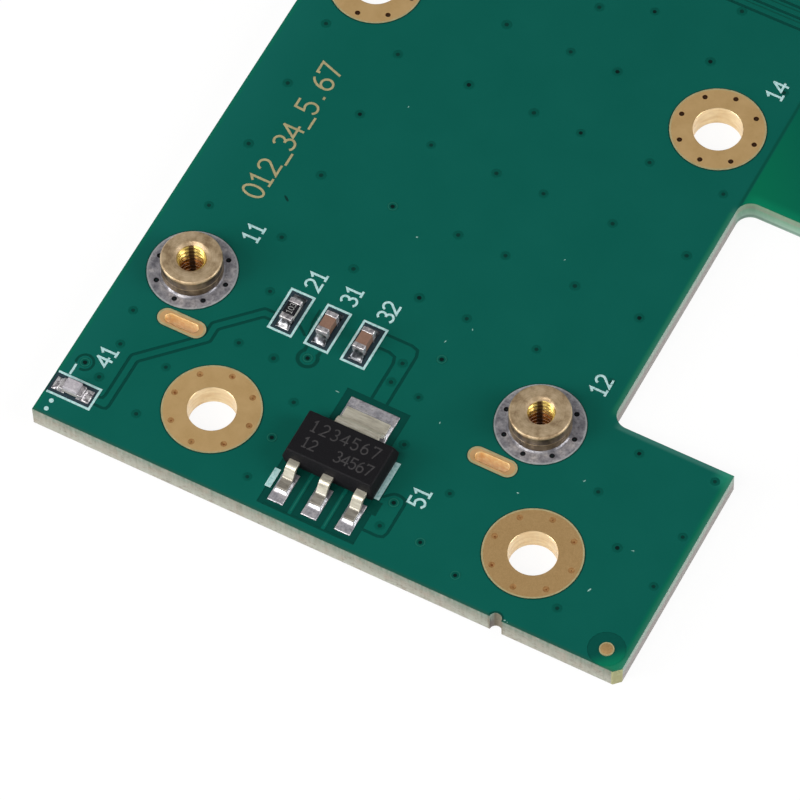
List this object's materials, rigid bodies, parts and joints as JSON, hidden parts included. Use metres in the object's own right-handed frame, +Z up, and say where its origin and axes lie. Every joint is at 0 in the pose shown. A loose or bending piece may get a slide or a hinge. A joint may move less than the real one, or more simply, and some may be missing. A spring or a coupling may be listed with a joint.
{
  "type": "pcie riser card",
  "caption": "Riser card that holds a mini card flat on threaded brass posts and plugs it into an edge slot.",
  "frame": {"origin": "midway between the axes of the two threaded posts, on the top face of the board", "axes": "+Y along the board from the bracket end to the card socket, +Z up out of the component face, +X towards the edge tongue"},
  "size_m": [0.0447, 0.069, 0.0056],
  "materials": {
    "green_board": "semi-gloss green coat over glass-fibre laminate",
    "brown_ceramic": "matt brown ceramic",
    "solder": "bright solder",
    "terminal": "tinned ends",
    "gold_plate": "satin gold plate over copper",
    "tinned": "dull tinned copper",
    "led_base": "pale resin",
    "frosted_lens": "frosted clear resin",
    "brass_post": "turned brass, slightly dulled",
    "black_case": "matt black moulding compound",
    "lead_frame": "tinned copper alloy",
    "alumina": "white alumina",
    "black_glaze": "glossy black glaze",
    "contact_gold": "gold-flashed copper alloy",
    "socket_plastic": "black glass-filled nylon"
  },
  "bodies": {
    "root": {"board": "green_board", "capacitor_left_core": "brown_ceramic", "capacitor_left_solder": "solder", "capacitor_left_terminals": "terminal", "capacitor_right_core": "brown_ceramic", "capacitor_right_solder": "solder", "capacitor_right_terminals": "terminal", "edge_fingers_bottom": "gold_plate", "edge_fingers_top": "gold_plate", "fiducial_dot": "gold_plate", "land_bracket_left": "gold_plate", "land_bracket_right": "gold_plate", "land_half_left": "gold_plate", "land_half_right": "gold_plate", "land_post_left": "tinned", "land_post_right": "tinned", "led_base": "led_base", "led_lens": "frosted_lens", "led_solder": "solder", "led_terminals": "terminal", "post_left": "brass_post", "post_right": "brass_post", "post_solder_left": "solder", "post_solder_right": "solder", "regulator_body": "black_case", "regulator_lead_1": "lead_frame", "regulator_lead_2": "lead_frame", "regulator_lead_3": "lead_frame", "regulator_solder": "solder", "regulator_tab": "lead_frame", "resistor_core": "alumina", "resistor_glaze": "black_glaze", "resistor_solder": "solder", "resistor_terminals": "terminal", "slot_liner_left": "gold_plate", "slot_liner_right": "gold_plate", "socket_anchor_left": "terminal", "socket_anchor_right": "terminal", "socket_contacts_lower": "contact_gold", "socket_contacts_upper": "contact_gold", "socket_housing": "socket_plastic"}
  },
  "joints": []
}
